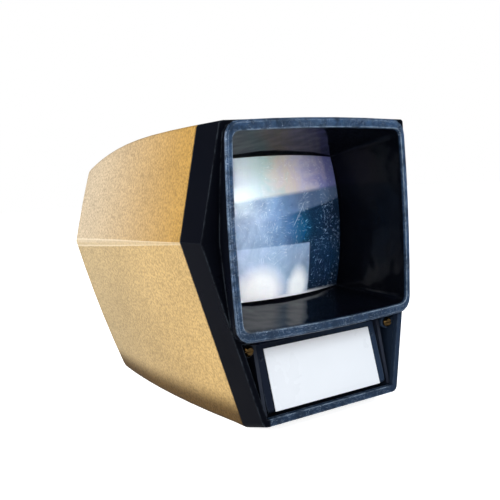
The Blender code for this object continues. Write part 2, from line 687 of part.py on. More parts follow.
def make_bezel():
    """Hood, tunnel, shoulder, skirts, sill and tongue in one moulding."""
    bezel = bezel_length("front_bezel", 0, 0, BEZEL_DEPTH, "black")
    cut(bezel, bezel_length("bezel_void", BEZEL_WALL, BEZEL_WALL, BEZEL_DEPTH + OVERRUN))
    band = bezel_length("bezel_band", BEZEL_WALL / 2, BAND_START, BEZEL_DEPTH - CLEARANCE)
    tongue = bezel_length("bezel_tongue", TONGUE_INSET, BAND_START + CLEARANCE, TONGUE_REACH)
    band_void = bezel_length("bezel_band_void", TONGUE_INSET + TONGUE_WALL,
                             BAND_START - OVERRUN, TONGUE_REACH + OVERRUN)
    upper = block("bezel_band_reach", (-CREASE_HALF - OVERRUN, at(0), TONGUE_LOW_Z),
                  (CREASE_HALF + OVERRUN, at(SECTION_Y + TONGUE_REACH), TOP_Z + OVERRUN))
    join(band, tongue)
    cut(band, band_void)
    combine(band, upper, "INTERSECT")
    join(bezel, band)

    hood_y = front_y(HOOD_BOTTOM_Z)
    floor_half = half_width(HOOD_BOTTOM_Z, BEZEL_WALL / 2)
    hood_floor = block("bezel_hood_floor", (-floor_half, at(hood_y + BEZEL_WALL / 2),
                                            HOOD_BOTTOM_Z),
                       (floor_half, at(hood_y + BAND_START + BEZEL_WALL),
                        HOOD_BOTTOM_Z + BEZEL_WALL))
    rim = loft("bezel_rim", [rim_ring(0, RIM_EDGE), rim_ring(RIM_EDGE / 2, RIM_EDGE / 4),
                             rim_ring(RIM_EDGE),
                             rim_ring(FRONT_CREASE_Y + BEZEL_WALL / 2, COLLAR_TAPER)])
    tunnel = loft("bezel_tunnel", [tunnel_ring(RIM_EDGE, TUNNEL_WALL),
                                   tunnel_ring(FLANGE_BACK_Y, TUNNEL_WALL)])
    flange_half, flange_height = flange_sizes()
    flange = plate("bezel_flange", rectangle(flange_half, flange_height, LENS_Z, FLANGE_RADIUS),
                   at(FLANGE_BACK_Y - FLANGE_THICKNESS), at(FLANGE_BACK_Y))
    opening = bezel_length("bezel_opening", BEZEL_WALL + CLEARANCE, -OVERRUN,
                           BEZEL_WALL + OVERRUN)
    slab = block("bezel_opening_slab", (-CREASE_HALF, at(-BEZEL_DEPTH), SILL_TOP_Z),
                 (CREASE_HALF, at(BEZEL_DEPTH), HOOD_BOTTOM_Z))
    combine(opening, slab, "INTERSECT")
    cut(bezel, opening)
    join(bezel, hood_floor, rim, tunnel, flange)
    bore_rings = [tunnel_ring(-OVERRUN), tunnel_ring(0), tunnel_ring(LENS_CORNER_Y),
                  tunnel_ring(FLANGE_BACK_Y + OVERRUN)]
    cut(bezel, loft("bezel_bore", bore_rings))
    for side, x in (("left", -BEZEL_SCREW_X), ("right", BEZEL_SCREW_X)):
        centre = (x, at(0), BEZEL_SCREW_Z)
        lug = bore(f"bezel_lug_{side}", centre, "y", BOSS_RADIUS, LUG_FRONT_Y, LUG_END_Y)
        web_x = sorted((x, math.copysign(half_width(BEZEL_SCREW_Z, BEZEL_WALL / 2), x)))
        web = block(f"bezel_lug_web_{side}",
                    (web_x[0], at(LUG_FRONT_Y), BEZEL_SCREW_Z - SCREW_RADIUS),
                    (web_x[1], at(front_y(BEZEL_SCREW_Z) + BAND_START + BEZEL_WALL),
                     BEZEL_SCREW_Z + SCREW_RADIUS))
        hole = bore(f"bezel_lug_hole_{side}", centre, "y", SCREW_RADIUS + CLEARANCE,
                    LUG_FRONT_Y - OVERRUN, LUG_END_Y + OVERRUN)
        join(bezel, lug, web)
        cut(bezel, hole)
    for number, (x, z) in enumerate(retainer_screw_places()):
        cut(bezel, bore(f"bezel_screw_hole_{number}", (x, at(0), z), "y",
                        SCREW_RADIUS + CLEARANCE, FLANGE_BACK_Y - FLANGE_THICKNESS - OVERRUN,
                        FLANGE_BACK_Y + OVERRUN))


def flange_sizes():
    half, height, middle = tunnel_sizes(FLANGE_BACK_Y)
    return half + FLANGE_WIDTH, height + FLANGE_WIDTH


def retainer_screw_places():
    """The four screws outside the corners of the lens."""
    half, height = flange_sizes()
    reach = SCREW_HEAD_RADIUS + CLEARANCE + SCREW_EDGE
    return [(sx * (half - reach), LENS_Z + sz * (height - reach))
            for sx, sz in ((-1, -1), (1, -1), (1, 1), (-1, 1))]


def make_lens():
    """A square lens whose front bulges into the tunnel and whose sides follow its taper."""
    builder = bmesh.new()
    count = LENS_STEPS + 1
    apex = LENS_CORNER_Y - (LENS_HALF_WIDTH ** 2 + LENS_HALF_HEIGHT ** 2) / LENS_FRONT_RADIUS / 2
    grids = []
    for back in (False, True):
        rows = []
        for i in range(count):
            row = []
            for j in range(count):
                u, v = 2 * i / LENS_STEPS - 1, 2 * j / LENS_STEPS - 1
                y = LENS_BACK_Y if back else apex
                for settle in range(count):
                    half, height, middle = tunnel_sizes(y)
                    x, up = u * (half - CLEARANCE), v * (height - CLEARANCE)
                    if not back:
                        y = apex + (x * x + up * up) / LENS_FRONT_RADIUS / 2
                row.append(builder.verts.new((x, at(y), middle + up)))
            rows.append(row)
        grids.append(rows)
    for rows in grids:
        for i in range(LENS_STEPS):
            for j in range(LENS_STEPS):
                builder.faces.new((rows[i][j], rows[i + 1][j], rows[i + 1][j + 1], rows[i][j + 1]))
    last = LENS_STEPS
    edge = [(i, 0) for i in range(last)] + [(last, j) for j in range(last)]
    edge += [(last - i, last) for i in range(last)] + [(0, last - j) for j in range(last)]
    for (i, j), (m, n) in zip(edge, edge[1:] + edge[:1]):
        builder.faces.new((grids[0][i][j], grids[0][m][n], grids[1][m][n], grids[1][i][j]))
    add_object("lens", builder, "clear")


def make_retainer():
    """A frame that holds the lens against the tunnel's taper, with its four screws."""
    half, height = flange_sizes()
    front = FLANGE_BACK_Y + CLEARANCE
    back = front + RETAINER_THICKNESS
    retainer = plate("lens_retainer", rectangle(half, height, LENS_Z, FLANGE_RADIUS),
                     at(front), at(back), "grey")
    lens_half, lens_height, middle = tunnel_sizes(LENS_BACK_Y)
    window = rectangle(lens_half - RETAINER_LIP, lens_height - RETAINER_LIP, LENS_Z,
                       LENS_CORNER_RADIUS)
    cut(retainer, plate("retainer_window", window, at(front - OVERRUN), at(back + OVERRUN)))
    for number, (x, z) in enumerate(retainer_screw_places()):
        cut(retainer, bore(f"retainer_hole_{number}", (x, at(0), z), "y",
                           SCREW_RADIUS + CLEARANCE, front - OVERRUN, back + OVERRUN))
        screw(f"retainer_screw_{number + 1}", (x, at(back + CLEARANCE), z), "-y",
              RETAINER_SCREW_LENGTH, "steel")


def make_shell():
    """The one-piece shell with its slide slot, finger notch, screw bosses and floor holes."""
    start = FRONT_BASE_Y + BEZEL_DEPTH - OVERRUN
    shell = loft("shell", shell_rings(start, DEPTH, 0), "gold")
    cut(shell, slice_across("shell_front", 0, BEZEL_DEPTH + CLEARANCE),
        loft("shell_void", shell_rings(start - OVERRUN, DEPTH - SHELL_WALL, SHELL_WALL)))
    low, high = top_z_at(DEPTH), TOP_Z + TOP_BOW + OVERRUN
    half_slot = SLOT_LENGTHWISE / 2
    cut(shell, block("slide_slot", (-SLOT_HALF, at(SLIDE_Y - half_slot), low),
                     (SLOT_HALF, at(SLIDE_Y + half_slot), high)))
    cut(shell, turned("finger_notch", [(NOTCH_RADIUS, low), (NOTCH_RADIUS, high)],
                      (0, at(SLIDE_Y), 0), "z"))
    boss_start = LUG_END_Y + CLEARANCE
    for side, x in (("left", -BEZEL_SCREW_X), ("right", BEZEL_SCREW_X)):
        centre = (x, at(0), BEZEL_SCREW_Z)
        boss = bore(f"shell_boss_{side}", centre, "y", BOSS_RADIUS, boss_start,
                    boss_start + BOSS_LENGTH)
        web_x = sorted((x, math.copysign(half_width(BEZEL_SCREW_Z, SHELL_WALL / 2), x)))
        web = block(f"shell_boss_web_{side}",
                    (web_x[0], at(boss_start), BEZEL_SCREW_Z - SCREW_RADIUS),
                    (web_x[1], at(boss_start + BOSS_LENGTH), BEZEL_SCREW_Z + SCREW_RADIUS))
        hole = bore(f"shell_boss_hole_{side}", centre, "y", SCREW_RADIUS + CLEARANCE,
                    boss_start - OVERRUN, boss_start + BEZEL_SCREW_GRIP + OVERRUN / 2)
        join(shell, boss, web)
        cut(shell, hole)
    for number, (x, y) in enumerate(floor_screw_places()):
        centre = (x, at(y), 0)
        cut(shell, bore(f"floor_recess_{number}", centre, "z", SCREW_HEAD_RADIUS + CLEARANCE,
                        -OVERRUN, FLOOR_SCREW_RECESS),
            bore(f"floor_hole_{number}", centre, "z", SCREW_RADIUS + CLEARANCE,
                 -OVERRUN, SHELL_WALL + OVERRUN))


def floor_screw_places():
    """Two screws into the battery box's rails, and two into the chassis foot."""
    return [(-BOX_SCREW_X, BOX_SCREW_Y), (BOX_SCREW_X, BOX_SCREW_Y),
            (0, FOOT_SCREW_FRONT_Y), (0, FOOT_SCREW_REAR_Y)]


def make_fasteners():
    """The brass bezel screws and the four floor screws."""
    head_y = LUG_FRONT_Y - CLEARANCE
    for side, x in (("left", -BEZEL_SCREW_X), ("right", BEZEL_SCREW_X)):
        screw(f"bezel_screw_{side}", (x, at(head_y), BEZEL_SCREW_Z), "y",
              LUG_END_Y + BEZEL_SCREW_GRIP - head_y, "brass")
    names = ("battery_box_screw_left", "battery_box_screw_right", "chassis_screw_front",
             "chassis_screw_rear")
    for name, (x, y) in zip(names, floor_screw_places()):
        screw(name, (x, at(y), FLOOR_SCREW_RECESS - CLEARANCE), "z", FLOOR_SCREW_LENGTH, "steel")


def side_limit(name, inset, chin=0):
    """A long solid that keeps a piece inside the slanted sides, and over the chin where it is 1."""
    return loft(name, [ring_at(y, 0, inset, 0, lift_at(y) * chin)
                       for y in (-OVERRUN, FRONT_BASE_Y + BEZEL_DEPTH, BOX_BACK_Y + OVERRUN)])


def make_battery_box():
    """An open tray with cheeks at the sides, which also carry the door's pins."""
    side, inner = BOX_SIDE_HALF, BOX_SIDE_HALF - BOX_WALL
    low_y = DOOR_PIN_Y - DOOR_PIN_RADIUS - CHEEK_MARGIN
    rise = CHEEK_TOP_Z - SILL_TOP_Z
    cheek = [(at(low_y), SILL_TOP_Z + 2 * CLEARANCE),
             (at(low_y + rise * math.tan(DOOR_LEAN) * CHEEK_LEAN_SHARE), CHEEK_TOP_Z),
             (at(BOX_BACK_Y), CHEEK_TOP_Z), (at(BOX_BACK_Y), BOX_FLOOR_BOTTOM),
             (at(BOX_FLOOR_START), BOX_FLOOR_BOTTOM),
             (at(BOX_FLOOR_START), SILL_TOP_Z + 2 * CLEARANCE)]
    box = prism("battery_box", cheek, -side, side, "grey")
    void = block("box_void", (-inner, at(-OVERRUN), BOX_FLOOR_TOP),
                 (inner, at(BOX_BACK_Y - BOX_WALL), CHEEK_TOP_Z + OVERRUN))
    combine(box, side_limit("box_sides", TONGUE_INSET, 1), "INTERSECT")
    combine(void, side_limit("box_void_sides", TONGUE_INSET + BOX_WALL), "INTERSECT")
    cut(box, void)
    rib = block("box_rib", (-BOX_RIB_HALF, at(CELL_FRONT_Y), BOX_FLOOR_TOP - BOX_WALL / 2),
                (BOX_RIB_HALF, at(BOX_BACK_Y - BOX_WALL / 2), CELL_Z - CELL_RADIUS / 2))
    join(box, rib)
    for number, x in enumerate((-BOX_SCREW_X, BOX_SCREW_X)):
        rail = block(f"box_rail_{number}", (x - BOX_RAIL, at(CELL_FRONT_Y + TONGUE_LENGTH * 2),
                                            CHASSIS_BASE_Z),
                     (x + BOX_RAIL, at(BOX_BACK_Y), BOX_FLOOR_BOTTOM + BOX_WALL / 2))
        join(box, rail)
        cut(box, bore(f"box_screw_hole_{number}", (x, at(BOX_SCREW_Y), 0), "z",
                      SCREW_RADIUS + CLEARANCE, 0, BOX_FLOOR_TOP + OVERRUN))
    cut(box, bore("box_pin_holes", (0, at(DOOR_PIN_Y), DOOR_PIN_Z), "x",
                  DOOR_PIN_RADIUS + CLEARANCE, -side - OVERRUN, side + OVERRUN))


def make_cells():
    """Two cells side by side, one each way round, with their rear springs and strips."""
    for side, sign in (("left", -1), ("right", 1)):
        x = sign * CELL_X
        start, end = CELL_FRONT_Y, CELL_END_Y
        nub_radius = CELL_NUB_RADIUS
        profile = [(nub_radius, start - CELL_NUB_LENGTH), (nub_radius, start),
                   (CELL_RADIUS - CELL_RIM, start), (CELL_RADIUS, start + CELL_RIM),
                   (CELL_RADIUS, end - CELL_RIM), (CELL_RADIUS - CELL_RIM, end)]
        turned(f"battery_{side}", profile, (x, at(0), CELL_Z), "y", "cell")
        block(f"spring_strip_{side}", (x - STRIP_HALF, at(STRIP_Y), BOX_FLOOR_TOP + CLEARANCE),
              (x + STRIP_HALF, at(STRIP_Y + STRIP_THICKNESS), STRIP_TOP_Z), "steel")
        reach = STRIP_Y - CELL_END_Y - 2 * CLEARANCE
        spring(f"battery_spring_{side}", (x, at(CELL_END_Y + CLEARANCE), CELL_Z), "y",
               BATTERY_SPRING_RADIUS, BATTERY_SPRING_TURNS, reach)


def door_face(z):
    """The Y, behind the rim, of the door's front face."""
    foot = DOOR_PIN_Y - DOOR_BARREL_RADIUS / math.cos(DOOR_LEAN)
    return foot + (z - DOOR_PIN_Z) * math.tan(DOOR_LEAN)


def leaning_plate(bottom, top, lift, thickness):
    """A plate's (y, z) outline parallel to the door's face, between two heights on the face."""
    normal = (math.cos(DOOR_LEAN), -math.sin(DOOR_LEAN))
    outline = []
    for z, depth in ((bottom, lift), (top, lift), (top, lift + thickness),
                     (bottom, lift + thickness)):
        outline.append((at(door_face(z) + normal[0] * depth), z + normal[1] * depth))
    return outline


def make_door():
    """The sloping battery door, its blank label and its contact strip, about the door's pins."""
    axis = (0, at(DOOR_PIN_Y), DOOR_PIN_Z)
    door = prism("battery_door", leaning_plate(DOOR_PIN_Z, DOOR_TOP_Z, 0, DOOR_THICKNESS),
                 -DOOR_HALF, DOOR_HALF, "black", axis)
    combine(door, side_limit("door_sides", TONGUE_INSET + BOX_WALL + DOOR_SIDE_GAP), "INTERSECT")
    half = DOOR_BARREL_HALF
    reach = half + DOOR_PIN_LENGTH
    barrel = turned("door_barrel", [(DOOR_PIN_RADIUS, -reach), (DOOR_PIN_RADIUS, -half),
                                    (DOOR_BARREL_RADIUS, -half), (DOOR_BARREL_RADIUS, half),
                                    (DOOR_PIN_RADIUS, half), (DOOR_PIN_RADIUS, reach)],
                    axis, "x", None, SMALL_SIDES)
    join(door, barrel)
    snap_z = DOOR_TOP_Z - SNAP_BELOW_TOP
    for number, x in enumerate((-SNAP_X, SNAP_X)):
        face = door_face(snap_z)
        stud = turned(f"door_snap_{number}", [(SNAP_RADIUS, face + DOOR_THICKNESS / 2),
                                              (SNAP_RADIUS, face - SNAP_RADIUS / 2),
                                              (SNAP_RADIUS / 2, face - SNAP_RADIUS)],
                      (x, at(0), snap_z), "y", None, SMALL_SIDES)
        join(door, stud)
    pad_front = CELL_FRONT_Y - CELL_NUB_LENGTH - CLEARANCE - STRIP_THICKNESS
    for number, x in enumerate((-CELL_X, CELL_X)):
        post = bore(f"door_post_{number}", (x, at(0), CELL_Z), "y", CELL_NUB_RADIUS,
                    door_face(CELL_Z) + DOOR_THICKNESS / 2, pad_front - CLEARANCE)
        join(door, post)
    block("door_contact", (-CELL_X - STRIP_HALF, at(pad_front), CELL_Z - DOOR_CONTACT_HALF_HEIGHT),
          (CELL_X + STRIP_HALF, at(pad_front + STRIP_THICKNESS),
           CELL_Z + DOOR_CONTACT_HALF_HEIGHT), "brass", axis)
    top, low = DOOR_TOP_Z - LABEL_BELOW_TOP, DOOR_PIN_Z - LABEL_BELOW_PIN
    prism("door_label", leaning_plate(low, top, -LABEL_THICKNESS - LABEL_SEAT,
                                      LABEL_THICKNESS), -LABEL_HALF, LABEL_HALF, "label", axis)


def make_gate():
    """The mask in front of the slide."""
    back = SLIDE_Y - RAIL_HALF_DEPTH - CLEARANCE
    front = back - GATE_THICKNESS
    low = DECK_TOP_Z + CLEARANCE
    gate = block("gate_plate", (-RAIL_OUTER, at(front), low), (RAIL_OUTER, at(back), RAIL_TOP_Z),
                 "black")
    cut(gate, plate("gate_window", rectangle(PICTURE_HALF, PICTURE_HALF, LENS_Z,
                                             LENS_CORNER_RADIUS),
                    at(front - OVERRUN), at(back + OVERRUN)))


def make_carriage():
    """The U-shaped carrier that the slide stands in, with the stem that works the switch."""
    top = SLIDE_REST_Z + CARRIAGE_ARM_HEIGHT
    y = at(SLIDE_Y)
    carriage = block("slide_carriage", (-CARRIAGE_HALF, y - CARRIAGE_HALF_DEPTH, SHELF_BOTTOM_Z),
                     (CARRIAGE_HALF, y + CARRIAGE_HALF_DEPTH, top), "black")
    pocket_half = SLIDE_HALF + CLEARANCE
    pocket = block("carriage_pocket", (-pocket_half, y - SLIDE_GAP / 2, SLIDE_REST_Z),
                   (pocket_half, y + SLIDE_GAP / 2, top + OVERRUN))
    window_half = SLIDE_HALF - CARRIAGE_SHELF
    window = block("carriage_window", (-window_half, y - CARRIAGE_HALF_DEPTH - OVERRUN,
                                       SLIDE_REST_Z + CARRIAGE_WALL),
                   (window_half, y + CARRIAGE_HALF_DEPTH + OVERRUN, top + OVERRUN))
    stem = turned("carriage_stem", [(STEM_RADIUS / 2, STEM_BOTTOM_Z),
                                    (STEM_RADIUS, STEM_BOTTOM_Z + STEM_RADIUS / 2),
                                    (STEM_RADIUS, SHELF_BOTTOM_Z + CARRIAGE_SHELF / 2)],
                  (0, y, 0), "z", None, SMALL_SIDES)
    cut(carriage, pocket, window)
    join(carriage, stem)
    low = DECK_TOP_Z + CLEARANCE
    spring("carriage_spring", (0, y, low), "z", SPRING_RADIUS, SPRING_TURNS,
           SHELF_BOTTOM_Z - CLEARANCE - low)


def make_chassis():
    """Foot, two webs, a deck and two grooved rails that guide the carriage."""
    deck_front = SLIDE_Y - RAIL_HALF_DEPTH
    chassis = block("chassis", (-FOOT_HALF, at(FOOT_FRONT_Y), CHASSIS_BASE_Z),
                    (FOOT_HALF, at(FOOT_REAR_Y), FOOT_TOP_Z), "grey")
    deck = block("chassis_deck", (-RAIL_OUTER, at(deck_front), DECK_BOTTOM_Z),
                 (RAIL_OUTER, at(DECK_REAR_Y), DECK_TOP_Z))
    join(chassis, deck)
    for side, sign in (("left", -1), ("right", 1)):
        web_x = sorted((sign * WEB_X, sign * (WEB_X - WEB_THICKNESS)))
        web = block(f"chassis_web_{side}", (web_x[0], at(deck_front + WEB_THICKNESS),
                                            FOOT_TOP_Z - FOOT_THICKNESS / 2),
                    (web_x[1], at(FOOT_REAR_Y), DECK_BOTTOM_Z + DECK_THICKNESS / 2))
        lip_x = CARRIAGE_HALF - RAIL_LIP
        rail_x = sorted((sign * lip_x, sign * RAIL_OUTER))
        rail = block(f"chassis_rail_{side}", (rail_x[0], at(SLIDE_Y - RAIL_HALF_DEPTH),
                                              DECK_BOTTOM_Z + DECK_THICKNESS / 2),
                     (rail_x[1], at(SLIDE_Y + RAIL_HALF_DEPTH), RAIL_TOP_Z))
        groove_x = sorted((sign * (lip_x - OVERRUN), sign * RAIL_INNER))
        groove_half = RAIL_HALF_DEPTH - RAIL_WALL
        groove = block(f"chassis_groove_{side}", (groove_x[0], at(SLIDE_Y - groove_half),
                                                  DECK_TOP_Z),
                       (groove_x[1], at(SLIDE_Y + groove_half), RAIL_TOP_Z + OVERRUN))
        cut(rail, groove)
        join(chassis, web, rail)
    stem_hole = bore("chassis_stem_hole", (0, at(SLIDE_Y), 0), "z", STEM_RADIUS + RUNNING_GAP,
                     DECK_BOTTOM_Z - OVERRUN, DECK_TOP_Z + OVERRUN)
    cut(chassis, stem_hole)
    for number, (x, y) in enumerate(floor_screw_places()[2:]):
        cut(chassis, bore(f"chassis_screw_hole_{number}", (x, at(y), 0), "z",
                          SCREW_RADIUS + CLEARANCE, 0, FOOT_TOP_Z + OVERRUN))


def make_light_box():
    """A white box behind the slide with its diffuser and reflector."""
    half, low, high = LIGHT_HALF, LIGHT_BOTTOM_Z, LIGHT_TOP_Z
    front, back = at(LIGHT_FRONT_Y), at(LIGHT_BACK_Y)
    box = block("light_box", (-half, front, low), (half, back, high), "white")
    flange = block("light_box_flange", (-RAIL_OUTER, front, low),
                   (RAIL_OUTER, front + LIGHT_WALL, high))
    void = block("light_box_void", (LIGHT_WALL - half, front - OVERRUN, low + LIGHT_WALL),
                 (half - LIGHT_WALL, back - LIGHT_WALL, high - LIGHT_WALL))
    join(box, flange)
    cut(box, void, bore("light_box_socket_hole", (0, at(LAMP_Y), 0), "z",
                        SOCKET_OUTER + CLEARANCE, low - OVERRUN, low + LIGHT_WALL + OVERRUN))
    inner = half - LIGHT_WALL - CLEARANCE
    bottom, top = low + LIGHT_WALL + CLEARANCE, high - LIGHT_WALL - CLEARANCE
    block("diffuser", (-inner, front, bottom), (inner, front + DIFFUSER_THICKNESS, top), "white")
    deep = LIGHT_BACK_Y - LIGHT_WALL - CLEARANCE
    outline = []
    for lift in (0, REFLECTOR_THICKNESS):
        side = []
        for k in range(-SMALL_SIDES // 2, SMALL_SIDES // 2 + 1):
            share = 2 * k / SMALL_SIDES
            side.append((inner * share, at(deep - lift - REFLECTOR_DEPTH * share * share)))
        outline += side if not lift else side[::-1]
    reflector_low = FLANGE_Z + SOCKET_WALL + CLEARANCE
    loft("reflector", [[(x, y, z) for x, y in outline] for z in (reflector_low, top)], "steel")


def make_lamp():
    """The screw-in bulb in its socket."""
    centre = (0, at(LAMP_Y), 0)
    cup_bottom = FLANGE_Z - SOCKET_DROP
    floor = cup_bottom + SOCKET_FLOOR
    cap_bottom = floor + CLEARANCE
    cap_top = cap_bottom + LAMP_CAP_LENGTH
    cup_top = cap_top - SOCKET_WALL
    turned("lamp_socket", [(SOCKET_OUTER, cup_bottom), (SOCKET_OUTER, FLANGE_Z),
                           (SOCKET_FLANGE, FLANGE_Z), (SOCKET_FLANGE, FLANGE_Z + SOCKET_WALL),
                           (SOCKET_OUTER, FLANGE_Z + SOCKET_WALL), (SOCKET_OUTER, cup_top),
                           (SOCKET_INNER, cup_top), (SOCKET_INNER, floor)],
           centre, "z", "brass")
    turned("lamp_cap", [(LAMP_CAP_RADIUS / 3, cap_bottom),
                        (LAMP_CAP_RADIUS, cap_bottom + SOCKET_WALL), (LAMP_CAP_RADIUS, cap_top)],
           centre, "z", "brass")
    glass = cap_top + CLEARANCE
    neck, bulb = LAMP_CAP_RADIUS * LAMP_NECK_SHARE, LAMP_GLASS_RADIUS
    middle = glass + LAMP_GLASS_LENGTH - bulb
    dome = [(bulb * math.cos(t), middle + bulb * math.sin(t))
            for t in (math.pi / 2 * k / CORNER_STEPS / 2 for k in range(2 * CORNER_STEPS))]
    turned("lamp_glass", [(neck, glass), (neck, glass + neck)] + dome
           + [(bulb * LAMP_TIP_SHARE, middle + bulb)], centre, "z", "clear")


def make_switch():
    """A leaf lever on a pin under the stem, and the fixed contact below its tip."""
    axis = (0, at(LEAF_PIVOT_Y), LEAF_PIVOT_Z)
    tip = LEAF_PIVOT_Y - LEAF_LENGTH
    leaf = block("switch_leaf", (-LEAF_HALF, at(tip), LEAF_TOP_Z - LEAF_THICKNESS),
                 (LEAF_HALF, at(LEAF_PIVOT_Y), LEAF_TOP_Z), "brass", axis)
    join(leaf, bore("leaf_eye", axis, "x", LEAF_EYE_RADIUS, -LEAF_HALF, LEAF_HALF))
    cut(leaf, bore("leaf_eye_bore", axis, "x", LEAF_PIVOT_RADIUS + CLEARANCE,
                   -LEAF_HALF - OVERRUN, LEAF_HALF + OVERRUN))
    reach = WEB_X - WEB_THICKNESS - CLEARANCE
    turned("leaf_pin", [(LEAF_PIVOT_RADIUS, -reach), (LEAF_PIVOT_RADIUS, reach)], axis, "x",
           "steel", SMALL_SIDES)
    y = LEAF_PIVOT_Y - LEAF_LENGTH + CONTACT_HALF
    block("switch_contact", (-CONTACT_HALF, at(y - CONTACT_THICKNESS), FOOT_TOP_Z + CLEARANCE),
          (CONTACT_HALF, at(y + CONTACT_THICKNESS), FOOT_TOP_Z + CLEARANCE + CONTACT_HEIGHT),
          "brass")


def make_wires():
    """Three wires, each on a smooth route between the pieces that it joins."""
    strip_y, strip_z = at(STRIP_Y + STRIP_THICKNESS / 2), STRIP_TOP_Z + CLEARANCE
    lamp_y, socket_z = at(LAMP_Y), FLANGE_Z - SOCKET_DROP
    side, high = RAIL_OUTER + WIRE_BESIDE_DECK, DECK_TOP_Z + WIRE_OVER_DECK
    under = LIGHT_BOTTOM_Z - WIRE_UNDER_LIGHT
    gate_y = at(SLIDE_Y - RAIL_HALF_DEPTH - GATE_THICKNESS)
    up = strip_z + WIRE_RISE
    pivot_y, contact_z = at(LEAF_PIVOT_Y), FOOT_TOP_Z + WIRE_RISE
    tip_y = at(LEAF_PIVOT_Y - LEAF_LENGTH + CONTACT_HALF - CONTACT_THICKNESS)
    routes = {
        "wire_battery_lamp": [
            (-CELL_X, strip_y, strip_z), (-CELL_X, strip_y + WIRE_RADIUS, up),
            ((-CELL_X - side) / 2, (strip_y + gate_y) / 2, (up + high) / 2),
            (-side, gate_y - WIRE_BESIDE_DECK, high), (-side, at(SLIDE_Y + WIRE_TURN), high),
            (-side * 2 / 3, lamp_y - WIRE_RISE, under), (-WIRE_TURN, lamp_y, under),
            (0, lamp_y, under + WIRE_RISE), (0, lamp_y, socket_z - CLEARANCE)],
        "wire_battery_switch": [
            (CELL_X, strip_y, strip_z), (CELL_X, strip_y + WIRE_RADIUS, up),
            (CELL_X, at(FOOT_FRONT_Y) - WIRE_RISE, up),
            (CELL_X * 2 / 3, at(FOOT_FRONT_Y), (up + contact_z) / 2),
            (WIRE_TURN, at(FOOT_FRONT_Y) + WIRE_TURN, contact_z + WIRE_RISE),
            (0, tip_y - WIRE_TURN / 2, contact_z),
            (0, tip_y - CLEARANCE, contact_z)],
        "wire_leaf_lamp": [
            (WIRE_OVER_DECK, pivot_y, LEAF_PIVOT_Z + LEAF_PIVOT_RADIUS + WIRE_RADIUS + CLEARANCE),
            (WIRE_OVER_DECK, at(DECK_REAR_Y) + WIRE_RISE, (LEAF_PIVOT_Z + DECK_BOTTOM_Z) / 2),
            (WIRE_OVER_DECK, at(FOOT_REAR_Y), DECK_TOP_Z),
            (WIRE_OVER_DECK, at(DECK_REAR_Y) + WIRE_RISE, under),
            (WIRE_OVER_DECK, lamp_y + WIRE_RISE, socket_z - WIRE_RISE),
            (SOCKET_OUTER + WIRE_RADIUS + CLEARANCE, lamp_y, socket_z - WIRE_RADIUS),
            (SOCKET_OUTER + WIRE_RADIUS + CLEARANCE, lamp_y, socket_z + WIRE_RISE / 2)],
    }
    for name, route in routes.items():
        tube(name, smooth_route(route, WIRE_STEP), WIRE_RADIUS, "wire", 2)


def build():
    clear_scene()
    make_shell()
    make_bezel()
    make_lens()
    make_retainer()
    make_fasteners()
    make_battery_box()
    make_cells()
    make_door()
    make_gate()
    make_carriage()
    make_chassis()
    make_light_box()
    make_lamp()
    make_switch()
    make_wires()


build()
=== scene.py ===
"""Looks, light and camera for the slide viewer. Metres, +Z up, the front faces -Y."""

import json
import math

import bmesh
import bpy
from mathutils import Matrix, Vector


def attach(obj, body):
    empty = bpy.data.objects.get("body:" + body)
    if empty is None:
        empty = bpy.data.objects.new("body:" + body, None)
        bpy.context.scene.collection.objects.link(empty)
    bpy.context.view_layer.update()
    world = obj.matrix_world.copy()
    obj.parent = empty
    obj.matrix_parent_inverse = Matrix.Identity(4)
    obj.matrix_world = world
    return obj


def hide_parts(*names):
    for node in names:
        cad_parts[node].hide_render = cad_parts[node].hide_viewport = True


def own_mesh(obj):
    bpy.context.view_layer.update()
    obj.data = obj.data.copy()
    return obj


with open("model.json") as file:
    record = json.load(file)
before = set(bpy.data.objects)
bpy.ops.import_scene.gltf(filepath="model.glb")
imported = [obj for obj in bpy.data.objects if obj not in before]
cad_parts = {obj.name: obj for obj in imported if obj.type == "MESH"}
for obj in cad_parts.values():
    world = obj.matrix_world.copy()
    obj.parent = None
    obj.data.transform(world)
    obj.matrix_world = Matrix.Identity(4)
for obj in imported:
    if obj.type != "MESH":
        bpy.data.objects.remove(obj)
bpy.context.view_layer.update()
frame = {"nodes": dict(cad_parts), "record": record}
nodes = frame["nodes"]

# Camera, found by fitting it to the photograph
CAMERA_PLACE = (-0.1635, -0.26154, 0.08867)
CAMERA_YAW = math.radians(-33.27)
CAMERA_PITCH = math.radians(-5.55)
CAMERA_ROLL = math.radians(-3.32)
CAMERA_LENS = 51.83
SENSOR = 36.0

# Places on the solids that the looks follow
FRONT_Y = -0.0635  # the rim's flat face
HOOD_Z = 0.0334  # lower edge of the rim
TUNNEL_HALF_WIDTH = 0.0382
TUNNEL_TOP_Z = 0.1058
SILL_Z = 0.0064  # top of the sill under the door
SILL_HALF_WIDTH = 0.0280
CREASE_Z = 0.0667  # height of the side crease at mid depth
CREASE_SLOPE = -0.0343

FLOOR_REACH = 3.0
FLOOR_Z = -0.0002

# Name, centre, target, width, height, power, colour and spread of each area light
LIGHTS = (
    ("key_left", (-0.80, 0.15, 0.42), (0, 0, 0.06), 0.5, 0.5, 7.5, (1.0, 0.98, 0.95), 180),
    ("sky_front", (0.35, -0.85, 0.75), (0, 0, 0.06), 0.7, 0.5, 6.0, (0.85, 0.93, 1.0), 180),
    ("fill_left", (-0.8, -0.5, 0.20), (0, 0, 0.05), 0.6, 0.6, 1.6, (1.0, 0.98, 0.95), 180),
    ("lens_beam", (0.10, -0.60, 0.16), (-0.008, -0.034, 0.068), 0.060, 0.062, 0.0067,
     (0.92, 0.97, 1.0), 3),
)

